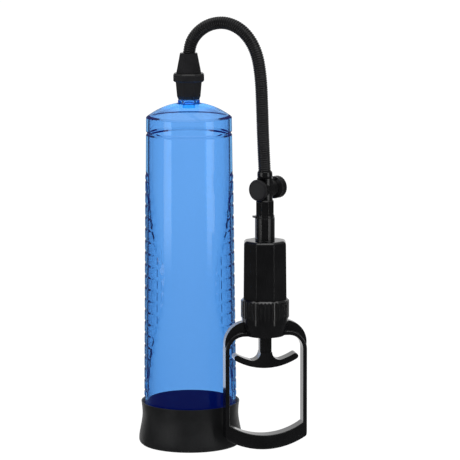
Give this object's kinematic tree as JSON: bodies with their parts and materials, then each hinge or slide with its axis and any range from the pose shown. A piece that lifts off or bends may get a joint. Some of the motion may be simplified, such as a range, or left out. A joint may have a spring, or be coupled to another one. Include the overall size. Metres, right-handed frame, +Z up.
{
  "type": "hand vacuum pump",
  "caption": "Hand vacuum pump: clear tapered chamber in a soft sleeve, joined by a ribbed hose and a push-button release valve to a squeeze-grip pump.",
  "frame": {"origin": "centre of the sleeve's mouth, on the chamber's axis at the surface it stands on", "axes": "+Z up along the chamber, the pump hangs towards +X and a little towards -Y, the front"},
  "size_m": [0.1084, 0.0749, 0.2778],
  "materials": {
    "clear_blue": "clear blue moulded plastic, gloss",
    "soft_rubber": "soft matte",
    "seal_rubber": "satin",
    "connector_rubber": "satin",
    "hose_rubber": "ribbed, satin",
    "liner_rubber": "smooth",
    "black_plastic": "gloss",
    "button_plastic": "satin with a polished rim",
    "inner_plastic": "natural",
    "spring_steel": "drawn wire"
  },
  "bodies": {
    "chamber": {"chamber": "clear_blue", "sealing_sleeve": "soft_rubber", "nozzle_seal": "seal_rubber"},
    "hose_set": {"connector_socket": "connector_rubber", "connector_ring": "connector_rubber", "hose_boot": "connector_rubber", "hose_barb": "inner_plastic", "hose_liner": "liner_rubber", "hose_sheath": "hose_rubber", "hose_ferrule": "black_plastic", "valve_body": "black_plastic", "valve_knob": "black_plastic", "coupling": "black_plastic", "coupling_seal": "seal_rubber"},
    "button": {"release_button": "button_plastic", "valve_stem": "inner_plastic", "stem_seal": "seal_rubber", "valve_spring": "spring_steel"},
    "pump": {"pump_body": "black_plastic", "pump_cylinder": "inner_plastic", "inlet_valve": "seal_rubber", "knurled_collar": "black_plastic", "collar_gasket": "seal_rubber", "handle_frame": "black_plastic", "rod_guide": "inner_plastic", "return_spring": "spring_steel"},
    "plunger": {"plunger": "black_plastic", "piston_head": "inner_plastic", "piston_seal": "seal_rubber", "exhaust_valve": "seal_rubber"}
  },
  "joints": [
    {"name": "hose_swivel", "type": "hinge", "parent": "chamber", "child": "hose_set", "pos_m": [0, 0, 0.23], "axis": [0, 0, 1], "continuous": true},
    {"name": "button_press", "type": "slide", "parent": "hose_set", "child": "button", "axis": [0.6159, 0.7878, 0], "range_m": [0, 0.0018], "stiffness_N_per_m": 600, "springref_m": -0.001},
    {"name": "pump_twist", "type": "hinge", "parent": "hose_set", "child": "pump", "pos_m": [0.0481, -0.026, 0.1459], "axis": [0, 0, 1], "range_deg": [0, 90]},
    {"name": "plunger_slide", "type": "slide", "parent": "pump", "child": "plunger", "axis": [0, 0, -1], "range_m": [0, 0.035], "stiffness_N_per_m": 400, "springref_m": -0.005, "deforming": ["return_spring"]}
  ]
}
